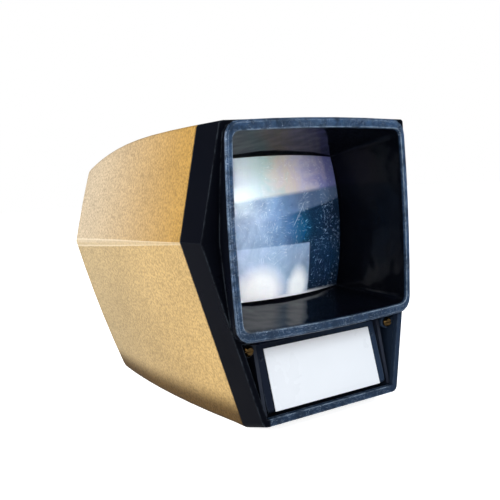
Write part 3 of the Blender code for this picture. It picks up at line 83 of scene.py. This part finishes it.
# Colours, linear
WHITE = (1.0, 1.0, 1.0)
# Painted light on the gold shell: the lower facet is painted lighter than the upper, and both are
# painted paler towards the rear as sheen.
SHELL_UPPER_FRONT, SHELL_UPPER_REAR_SHEEN = (0.410, 0.226, 0.034), (0.510, 0.410, 0.280)
SHELL_LOWER_FRONT_LIT, SHELL_LOWER_REAR_LIT_SHEEN = (0.520, 0.345, 0.130), (0.440, 0.330, 0.175)
# The first colour here is painted shade at the bottom, where the shell turns under; the specks are
# the plastic's own.
SHELL_BOTTOM_SHADE, SHELL_SPECK = (0.075, 0.036, 0.004), (0.10, 0.06, 0.03)
# Painted highlight along the shell's crease: a strip with two brighter edge lines.
CREASE_HIGHLIGHT, CREASE_HIGHLIGHT_LINES = (0.56, 0.46, 0.31), (0.74, 0.64, 0.47)
# Painted blue sky reflection on the black skirt below the hood.
SKIRT_REFLECTION = (0.026, 0.044, 0.080)
# The second colour here is a painted highlight on sharp edges; the scratches are real wear.
SCRATCH_GREY, EDGE_HIGHLIGHT = (0.36, 0.44, 0.54), (0.44, 0.55, 0.66)
# The lens's dark blue, blue, teal, middle and veil colours are painted sky reflection.
LENS_DARK, LENS_BLUE = (0.010, 0.028, 0.070), (0.014, 0.060, 0.140)
LENS_TEAL, LENS_MIDDLE = (0.004, 0.110, 0.260), (0.19, 0.36, 0.64)
LENS_VEIL, LENS_PATCH = (0.22, 0.30, 0.46), (0.42, 0.55, 0.74)
LENS_HAZE, LENS_MARK = (0.84, 0.90, 0.95), (0.80, 0.88, 0.94)
LENS_RAINBOW = [(0.00, (0.72, 0.79, 0.88)), (0.14, (0.42, 0.60, 0.56)), (0.26, (0.68, 0.58, 0.48)),
                (0.38, (0.56, 0.50, 0.62)), (0.54, (0.22, 0.22, 0.52))]


# Materials from small procedural nodes

def fresh(name):
    """A new material: its node tree, its shader and itself."""
    made = bpy.data.materials.new(name)
    made.use_nodes = True
    return made.node_tree, made.node_tree.nodes["Principled BSDF"], made


def add(tree, kind, inputs=None, **settings):
    """A node with its settings, and each input either linked or set."""
    node = tree.nodes.new(kind)
    for key, value in settings.items():
        setattr(node, key, value)
    for key, value in (inputs or {}).items():
        put(tree, node.inputs[key], value)
    return node


def put(tree, socket, value):
    """Links a socket to another, or sets its value."""
    if isinstance(value, bpy.types.NodeSocket):
        tree.links.new(value, socket)
    else:
        socket.default_value = value


def place(tree):
    """The point's place in the row frame."""
    return add(tree, "ShaderNodeTexCoord").outputs["Object"]


def noise(tree, scale, detail=3.0, rough=0.55, vector=None, distortion=0.0):
    """Uneven grey from 0 to 1."""
    node = add(tree, "ShaderNodeTexNoise", {"Vector": vector or place(tree), "Scale": scale,
                                            "Detail": detail, "Roughness": rough,
                                            "Distortion": distortion})
    return node.outputs["Fac"]


def ramp(tree, value, stops):
    """Maps a value through (place, grey or colour) stops."""
    node = add(tree, "ShaderNodeValToRGB", {"Fac": value})
    elements = node.color_ramp.elements
    while len(elements) < len(stops):
        elements.new(0.5)
    for element, (where, shade) in zip(elements, stops):
        element.position = where
        element.color = (*shade, 1) if isinstance(shade, tuple) else (shade, shade, shade, 1)
    return node.outputs["Color"]


def mix(tree, share, low, high, blend="MIX"):
    """low where share is 0, high where it is 1."""
    node = add(tree, "ShaderNodeMix", data_type="RGBA", blend_type=blend)
    put(tree, node.inputs[0], share)
    for socket, value in ((node.inputs[6], low), (node.inputs[7], high)):
        put(tree, socket, (*value, 1) if isinstance(value, tuple) else value)
    return node.outputs[2]


def maths(tree, operation, *values, clamp=False):
    """One sum on values or sockets."""
    node = add(tree, "ShaderNodeMath", operation=operation, use_clamp=clamp)
    for socket, value in zip(node.inputs, values):
        put(tree, socket, value)
    return node.outputs[0]


def axis_value(tree, axis):
    """One coordinate of the point's place."""
    return add(tree, "ShaderNodeSeparateXYZ", {"Vector": place(tree)}).outputs[axis]


def band(tree, value, low, high):
    """0 below low, 1 above high, smooth between. low may be the larger one."""
    node = add(tree, "ShaderNodeMapRange", {"Value": value, "From Min": low, "From Max": high},
               interpolation_type="SMOOTHSTEP", clamp=True)
    return node.outputs["Result"]


def sharp_edge_mask(tree, radius):
    """High where the surface turns sharply, from the difference to a rounded normal."""
    soft = add(tree, "ShaderNodeBevel", {"Radius": radius}, samples=4).outputs["Normal"]
    hard = add(tree, "ShaderNodeNewGeometry").outputs["Normal"]
    dot = add(tree, "ShaderNodeVectorMath", operation="DOT_PRODUCT")
    put(tree, dot.inputs[0], soft)
    put(tree, dot.inputs[1], hard)
    return maths(tree, "SUBTRACT", 1.0, dot.outputs["Value"], clamp=True)


def bump(tree, height, strength, distance, normal=None):
    """A normal that follows a height."""
    inputs = {"Height": height, "Strength": strength, "Distance": distance}
    if normal:
        inputs["Normal"] = normal
    return add(tree, "ShaderNodeBump", inputs).outputs["Normal"]


def blob(tree, x, z, centre, size, soft=1.0):
    """1 at a centre in the (x, z) plane, falling to 0 at the given half sizes."""
    across = maths(tree, "DIVIDE", maths(tree, "SUBTRACT", x, centre[0]), size[0])
    up = maths(tree, "DIVIDE", maths(tree, "SUBTRACT", z, centre[1]), size[1])
    far = maths(tree, "ADD", maths(tree, "POWER", maths(tree, "ABSOLUTE", across), 2.0),
                maths(tree, "POWER", maths(tree, "ABSOLUTE", up), 2.0))
    return band(tree, far, 1.0, 1.0 - soft)


def most(tree, *values):
    """The highest of several values."""
    result = values[0]
    for value in values[1:]:
        result = maths(tree, "MAXIMUM", result, value)
    return result


def times(tree, *values):
    """The product of several values."""
    result = values[0]
    for value in values[1:]:
        result = maths(tree, "MULTIPLY", result, value)
    return result


def scratches(tree, angles, width, length, low, high, cover=0.5):
    """Fine straight scratches in the (x, z) plane at several angles, broken up unevenly."""
    layers = []
    for number, angle in enumerate(angles):
        turned = add(tree, "ShaderNodeMapping", {
            "Vector": place(tree), "Rotation": (0.0, math.radians(angle), 0.0)})
        vector = add(tree, "ShaderNodeMapping", {
            "Vector": turned.outputs["Vector"], "Location": (number * 3.1, 0, 0),
            "Scale": (1 / width, 40.0, 1 / length)})
        lines = band(tree, noise(tree, 1.0, 0.0, 0.0, vector.outputs["Vector"]), low, high)
        gaps = band(tree, noise(tree, 90.0 + 17.0 * number, 2.0), cover, cover + 0.05)
        layers.append(times(tree, lines, gaps))
    return most(tree, *layers)


def specks(tree, scale, size, share):
    """Small scattered dots."""
    node = add(tree, "ShaderNodeTexVoronoi", {"Vector": place(tree), "Scale": scale})
    chance = add(tree, "ShaderNodeSeparateColor", {"Color": node.outputs["Color"]}).outputs[0]
    dots = band(tree, node.outputs["Distance"], size, size * 0.6)
    return times(tree, dots, band(tree, chance, 1 - share, 1.02 - share))


# The looks of the pieces

def shell_look():
    """Gold-tan plastic with a fine pebble. Painted light: sheen paler to the rear, a lighter lower
    facet, shade darker at the bottom, and a highlight along the crease.
    """
    tree, shader, made = fresh("shell_gold")
    y, z = axis_value(tree, "Y"), axis_value(tree, "Z")
    back = band(tree, y, FRONT_Y, -FRONT_Y)
    crease_z = maths(tree, "MULTIPLY_ADD", y, CREASE_SLOPE, CREASE_Z)
    above = maths(tree, "SUBTRACT", z, crease_z)
    # painted light: paler towards the rear as sheen, and the lower facet painted lighter than the
    # upper
    colour = mix(tree, back, SHELL_UPPER_FRONT, SHELL_UPPER_REAR_SHEEN)
    lower = mix(tree, back, SHELL_LOWER_FRONT_LIT, SHELL_LOWER_REAR_LIT_SHEEN)
    colour = mix(tree, band(tree, above, 0.0004, -0.0004), colour, lower)
    # painted shade: darker towards the bottom, where the shell turns under
    colour = mix(tree, times(tree, band(tree, z, 0.014, 0.004), 0.92), colour, SHELL_BOTTOM_SHADE)
    patches = ramp(tree, noise(tree, 24.0, 4.0), [(0.35, 0.92), (0.65, 1.04)])
    colour = mix(tree, 1.0, colour, patches, "MULTIPLY")
    grain = ramp(tree, noise(tree, 1100.0, 3.0), [(0.36, 0.70), (0.62, 1.14)])
    colour = mix(tree, 1.0, colour, grain, "MULTIPLY")
    colour = mix(tree, specks(tree, 95.0, 0.05, 0.02), colour, SHELL_SPECK)
    # painted highlight along the crease: a strip that widens towards the rear, with brighter edge
    # lines
    width = maths(tree, "MULTIPLY_ADD", back, 0.0014, 0.0003)
    wobble = maths(tree, "MULTIPLY_ADD", noise(tree, 120.0), 0.5, 0.75)
    share = maths(tree, "DIVIDE", maths(tree, "ABSOLUTE", above), times(tree, width, wobble))
    crease_highlight = band(tree, share, 1.2, 0.8)
    colour = mix(tree, times(tree, crease_highlight, 0.45), colour, CREASE_HIGHLIGHT)
    lines = times(tree, band(tree, share, 1.25, 0.95), band(tree, share, 0.55, 0.85))
    colour = mix(tree, times(tree, lines, 0.45), colour, CREASE_HIGHLIGHT_LINES)
    put(tree, shader.inputs["Base Color"], colour)
    rough = ramp(tree, noise(tree, 60.0), [(0.3, 0.50), (0.7, 0.64)])
    put(tree, shader.inputs["Roughness"], rough)
    shader.inputs["Specular IOR Level"].default_value = 0.30
    pebble = add(tree, "ShaderNodeTexVoronoi", {"Vector": place(tree), "Scale": 850.0})
    height = maths(tree, "ADD", pebble.outputs["Distance"], noise(tree, 2000.0, 2.0))
    soft = add(tree, "ShaderNodeBevel", {"Radius": 0.0012}, samples=4).outputs["Normal"]
    put(tree, shader.inputs["Normal"], bump(tree, height, 0.55, 0.00016, soft))
    return made


def black_look(name, base, rough_low, rough_high, rim, specular):
    """Black plastic, glossy in the tunnel. The blue-grey on the rim's face and the sill is painted
    sky reflection together with real scratches and wear; sharp edges carry a painted highlight, and
    the skirt a painted blue reflection.
    """
    tree, shader, made = fresh(name)
    x, y, z = (axis_value(tree, axis) for axis in "XYZ")
    aside = maths(tree, "ABSOLUTE", x)
    face = times(tree, band(tree, y, FRONT_Y + 0.0014, FRONT_Y + 0.0006),
                 band(tree, z, HOOD_Z - 0.0006, HOOD_Z + 0.0004))
    sill = times(tree, band(tree, z, SILL_Z + 0.0006, SILL_Z),
                 band(tree, aside, SILL_HALF_WIDTH + 0.0010, SILL_HALF_WIDTH),
                 band(tree, y, FRONT_Y + 0.0060, FRONT_Y + 0.0040))
    # the rim's face and the sill: blue-grey painted reflection together with wear
    reflection_and_wear = most(tree, face, times(tree, sill, 0.8))
    inside = times(tree, band(tree, y, FRONT_Y + 0.0010, FRONT_Y + 0.0018),
                   band(tree, aside, TUNNEL_HALF_WIDTH + 0.0004, TUNNEL_HALF_WIDTH),
                   band(tree, z, HOOD_Z + 0.0016, HOOD_Z + 0.0022),
                   band(tree, z, TUNNEL_TOP_Z + 0.0004, TUNNEL_TOP_Z))
    # painted blue sky reflection on the skirt below the hood, growing towards +X
    skirt_reflection = times(tree, band(tree, z, HOOD_Z + 0.0010, HOOD_Z - 0.0010),
                  band(tree, x, -0.020, 0.030))
    mottle = noise(tree, 260.0, 6.0, 0.72)
    # the painted reflection colour: the rim colour, mottled and changing with height
    low = band(tree, z, 0.060, 0.035)
    dark = mix(tree, low, tuple(0.30 * c for c in rim), tuple(0.42 * c for c in rim))
    tone = mix(tree, ramp(tree, mottle, [(0.40, 0.0), (0.64, 1.0)]), dark, rim)
    tone = mix(tree, times(tree, low, 0.5), tone, tuple(0.25 * c for c in rim))
    colour = mix(tree, times(tree, skirt_reflection, 0.8), base, SKIRT_REFLECTION)
    colour = mix(tree, reflection_and_wear, colour, tone)
    fine = most(tree, scratches(tree, (15, 70, -35, -80), 0.00009, 0.0016, 0.74, 0.80, 0.52),
                specks(tree, 800.0, 0.22, 0.14))
    colour = mix(tree, times(tree, fine, reflection_and_wear, 0.70), colour, SCRATCH_GREY)
    # painted highlight on sharp edges, broken by mottle, strongest on the rim's face and sill
    edge_highlight = times(tree, band(tree, sharp_edge_mask(tree, 0.0008), 0.02, 0.12),
                   band(tree, mottle, 0.36, 0.60))
    colour = mix(tree, times(tree, edge_highlight, maths(tree, "MULTIPLY_ADD", reflection_and_wear, 0.80, 0.10)), colour,
                 EDGE_HIGHLIGHT)
    put(tree, shader.inputs["Base Color"], colour)
    smudge = ramp(tree, noise(tree, 45.0, 5.0), [(0.3, rough_low), (0.7, rough_high)])
    put(tree, shader.inputs["Roughness"], mix(tree, inside, smudge, (0.13, 0.13, 0.13)))
    put(tree, shader.inputs["Specular IOR Level"],
        most(tree, maths(tree, "MULTIPLY_ADD", reflection_and_wear, specular, 0.05), times(tree, inside, 0.14)))
    soft = add(tree, "ShaderNodeBevel", {"Radius": 0.0005}, samples=4).outputs["Normal"]
    waves = bump(tree, noise(tree, 110.0, 1.0), 0.35, 0.0012, soft)
    plain = bump(tree, noise(tree, 900.0, 3.0), 0.05, 0.0001, soft)
    put(tree, shader.inputs["Normal"], mix(tree, inside, plain, waves))
    return made


def lens_look():
    """Scratched acrylic with a milky haze at one side and along the top. The mottled dark blue,
    teal and paler blues are painted sky reflection, and white spots near the bottom are painted
    highlights.
    """
    tree, shader, made = fresh("lens_clear")
    x, z = axis_value(tree, "X"), axis_value(tree, "Z")
    shader.inputs["IOR"].default_value = 1.49
    cloud = noise(tree, 90.0, 6.0, 0.66, distortion=0.6)
    fog = ramp(tree, cloud, [(0.32, 0.45), (0.68, 1.0)])
    left = band(tree, x, 0.002, -0.020)
    upper = band(tree, maths(tree, "MULTIPLY_ADD", x, -0.07, z), 0.0812, 0.0832)
    veil = band(tree, maths(tree, "MULTIPLY_ADD", x, -0.17, z), 0.0732, 0.0748)
    middle = times(tree, band(tree, x, 0.010, -0.004), band(tree, z, 0.100, 0.080))
    patch = times(tree, band(tree, x, 0.0125, 0.0118), band(tree, z, 0.0632, 0.0625))
    # painted highlights: white hot spots near the bottom of the lens and a bright band along its
    # lower edge
    edge = times(tree, band(tree, z, 0.0440, 0.0426), band(tree, x, 0.034, 0.010))
    spread = maths(tree, "MULTIPLY", maths(tree, "SUBTRACT", cloud, 0.5), 0.004)
    warped = maths(tree, "ADD", x, spread)
    hot_spots = most(tree, blob(tree, warped, z, (-0.0110, 0.0455), (0.0135, 0.0125), 0.9),
                blob(tree, warped, z, (0.0065, 0.0445), (0.0065, 0.0115), 0.9), edge)
    # painted sky reflection: mottled dark blue with a teal spot, veiled and paler in the middle
    base = mix(tree, ramp(tree, noise(tree, 40.0, 3.0), [(0.35, 0.0), (0.65, 1.0)]),
               LENS_DARK, LENS_BLUE)
    deep = blob(tree, x, z, (0.0070, 0.0690), (0.0080, 0.0090), 0.9)
    colour = mix(tree, times(tree, deep, 0.8), base, LENS_TEAL)
    colour = mix(tree, times(tree, veil, fog, 0.55), colour, LENS_VEIL)
    colour = mix(tree, times(tree, middle, fog, 0.75), colour, LENS_MIDDLE)
    tint = maths(tree, "ADD", maths(tree, "MULTIPLY_ADD", x, 11.0, 0.24),
                 maths(tree, "MULTIPLY", maths(tree, "SUBTRACT", cloud, 0.5), 0.5))
    colour = mix(tree, times(tree, upper, 0.80), colour, ramp(tree, tint, LENS_RAINBOW))
    colour = mix(tree, times(tree, patch, fog, 0.80), colour, LENS_PATCH)
    haze = maths(tree, "MULTIPLY", left, maths(tree, "MULTIPLY_ADD", upper, 0.55, 0.34))
    colour = mix(tree, times(tree, haze, fog), colour, LENS_HAZE)
    # painted highlight: the white hot spots
    colour = mix(tree, hot_spots, colour, WHITE)
    angles = (8, 40, 65, -30, -60, 85)
    marks = most(tree, scratches(tree, angles, 0.00008, 0.0024, 0.76, 0.82, 0.55),
                 specks(tree, 600.0, 0.16, 0.05))
    mark_x = maths(tree, "MULTIPLY_ADD", maths(tree, "SUBTRACT", z, 0.0740), 0.72, 0.0070)
    long_mark = maths(tree, "ABSOLUTE", maths(tree, "SUBTRACT", mark_x, x))
    streak = times(tree, band(tree, long_mark, 0.00016, 0.00006),
                   blob(tree, x, z, (0.0072, 0.0742), (0.0060, 0.0064), 0.5))
    marks = most(tree, marks, times(tree, streak, 0.6))
    colour = mix(tree, times(tree, marks, 0.8), colour, LENS_MARK)
    put(tree, shader.inputs["Base Color"], colour)
    film = most(tree, haze, times(tree, upper, 0.9), times(tree, patch, 0.75),
                hot_spots, times(tree, veil, 0.6), times(tree, middle, 0.8), marks)
    film = maths(tree, "MULTIPLY_ADD", film, 0.45, 0.55)
    put(tree, shader.inputs["Transmission Weight"], maths(tree, "SUBTRACT", 1.0, film))
    put(tree, shader.inputs["Roughness"], ramp(tree, cloud, [(0.3, 0.10), (0.8, 0.26)]))
    put(tree, shader.inputs["Normal"], bump(tree, marks, 0.15, 0.00005))
    return made


def plain_look(name, base, rough, metallic=0.0, grain=300.0, spread=0.15, transmission=0.0):
    """A piece inside, with its own grain in colour, gloss and surface."""
    tree, shader, made = fresh(name)
    texture = noise(tree, grain, 4.0)
    dark = tuple(c * (1 - spread) for c in base)
    light = tuple(min(c * (1 + spread), 1) for c in base)
    put(tree, shader.inputs["Base Color"], ramp(tree, texture, [(0.3, dark), (0.7, light)]))
    put(tree, shader.inputs["Roughness"], ramp(tree, texture, [(0.3, rough * 0.8),
                                                                (0.7, min(rough * 1.25, 1))]))
    shader.inputs["Metallic"].default_value = metallic
    shader.inputs["Transmission Weight"].default_value = transmission
    put(tree, shader.inputs["Normal"], bump(tree, texture, 0.05, 0.0001))
    return made


LOOKS = {
    "shell_gold": shell_look(),
    # the colour after the two roughness values is painted reflection together with wear on the
    # rim's face and sill
    "bezel_black": black_look("bezel_black", (0.0022, 0.0028, 0.0055), 0.26, 0.42,
                              (0.040, 0.086, 0.172), 0.16),
    "door_black": black_look("door_black", (0.0100, 0.0140, 0.0260), 0.32, 0.50,
                             (0.030, 0.035, 0.045), 0.10),
    "lens_clear": lens_look(),
    "frame_grey": plain_look("frame_grey", (0.012, 0.017, 0.032), 0.45),
    "label_white": plain_look("label_white", (0.95, 0.955, 0.965), 0.30, grain=60.0,
                              spread=0.015),
    "contact_brass": plain_look("contact_brass", (0.22, 0.13, 0.045), 0.22, 1.0),
    "box_white": plain_look("box_white", (0.80, 0.80, 0.78), 0.50, spread=0.05),
    "sheet_steel": plain_look("sheet_steel", (0.60, 0.60, 0.60), 0.30, 1.0),
    "spring_steel": plain_look("spring_steel", (0.50, 0.50, 0.50), 0.30, 1.0),
    "screw_steel": plain_look("screw_steel", (0.52, 0.52, 0.52), 0.35, 1.0),
    "lamp_clear": plain_look("lamp_clear", (0.95, 0.95, 0.95), 0.05, transmission=1.0, spread=0.02),
    "cell_jacket": plain_look("cell_jacket", (0.05, 0.08, 0.20), 0.35, spread=0.10),
    "wire_red": plain_look("wire_red", (0.40, 0.03, 0.02), 0.45),
}

for piece in frame["record"]["subparts"]:
    mesh = nodes[piece["node"]].data
    mesh.materials.clear()
    mesh.materials.append(LOOKS[piece["material_slot"]])


# Stage and camera, and a copy of the carriage's spring

def make_live_spring():
    """A copy of the carriage's spring on the viewer body, with its own mesh, in place of the hidden
    solid.
    """
    solid = nodes["carriage_spring"]
    spring = bpy.data.objects.new("carriage_spring_coil", solid.data.copy())
    spring.matrix_world = solid.matrix_world.copy()
    bpy.context.scene.collection.objects.link(spring)
    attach(spring, "viewer")
    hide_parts("carriage_spring")
    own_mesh(spring)


def make_floor():
    """A pale floor that looks white to the camera and dark in glossy reflections."""
    builder = bmesh.new()
    corners = [builder.verts.new((sx * FLOOR_REACH, sy * FLOOR_REACH, FLOOR_Z))
               for sx, sy in ((-1, -1), (1, -1), (1, 1), (-1, 1))]
    builder.faces.new(corners)
    mesh = bpy.data.meshes.new("floor")
    builder.to_mesh(mesh)
    builder.free()
    floor = bpy.data.objects.new("floor", mesh)
    bpy.context.scene.collection.objects.link(floor)
    tree, shader, made = fresh("floor_pale")
    path = add(tree, "ShaderNodeLightPath").outputs
    put(tree, shader.inputs["Base Color"],
        mix(tree, path["Is Glossy Ray"], (0.90, 0.90, 0.90), (0.12, 0.13, 0.16)))
    shader.inputs["Roughness"].default_value = 0.9
    shader.inputs["Emission Color"].default_value = (*WHITE, 1)
    put(tree, shader.inputs["Emission Strength"],
        maths(tree, "MULTIPLY_ADD", path["Is Camera Ray"], 0.75, 0.15))
    mesh.materials.append(made)


def make_world():
    """White behind the object, dim blue in reflections, soft grey light elsewhere."""
    world = bpy.data.worlds.new("studio")
    world.use_nodes = True
    bpy.context.scene.world = world
    tree = world.node_tree
    background = tree.nodes["Background"]
    path = add(tree, "ShaderNodeLightPath").outputs
    colour = mix(tree, path["Is Glossy Ray"], (0.34, 0.36, 0.40), (0.05, 0.06, 0.09))
    colour = mix(tree, path["Is Camera Ray"], colour, WHITE)
    put(tree, background.inputs["Color"], colour)
    background.inputs["Strength"].default_value = 1.0


def make_light(name, centre, target, width, height, power, colour, spread):
    """A rectangular soft light that points at a target, narrowed to a beam by a small spread."""
    data = bpy.data.lights.new(name, "AREA")
    data.shape = "RECTANGLE"
    data.size, data.size_y = width, height
    data.energy = power
    data.color = colour
    data.spread = math.radians(spread)
    light = bpy.data.objects.new(name, data)
    light.location = centre
    light.rotation_mode = "QUATERNION"
    light.rotation_quaternion = (Vector(target) - Vector(centre)).to_track_quat("-Z", "Y")
    bpy.context.scene.collection.objects.link(light)


def make_camera():
    """The camera at the photo's place, from its yaw, pitch and roll."""
    forward = Vector((-math.sin(CAMERA_YAW) * math.cos(CAMERA_PITCH),
                      math.cos(CAMERA_YAW) * math.cos(CAMERA_PITCH), math.sin(CAMERA_PITCH)))
    level = forward.cross(Vector((0, 0, 1))).normalized()
    upright = level.cross(forward)
    cos, sin = math.cos(CAMERA_ROLL), math.sin(CAMERA_ROLL)
    right, up = level * cos + upright * sin, upright * cos - level * sin
    data = bpy.data.cameras.new("camera")
    data.lens, data.sensor_width = CAMERA_LENS, SENSOR
    data.clip_start, data.clip_end = 0.01, 20.0
    camera = bpy.data.objects.new("camera", data)
    turn = Matrix((right, up, -forward)).transposed()
    camera.matrix_world = Matrix.Translation(CAMERA_PLACE) @ turn.to_4x4()
    bpy.context.scene.collection.objects.link(camera)
    bpy.context.scene.camera = camera


make_live_spring()
make_floor()
make_world()
for light_row in LIGHTS:
    make_light(*light_row)
make_camera()
bpy.context.scene.view_settings.view_transform = "Standard"
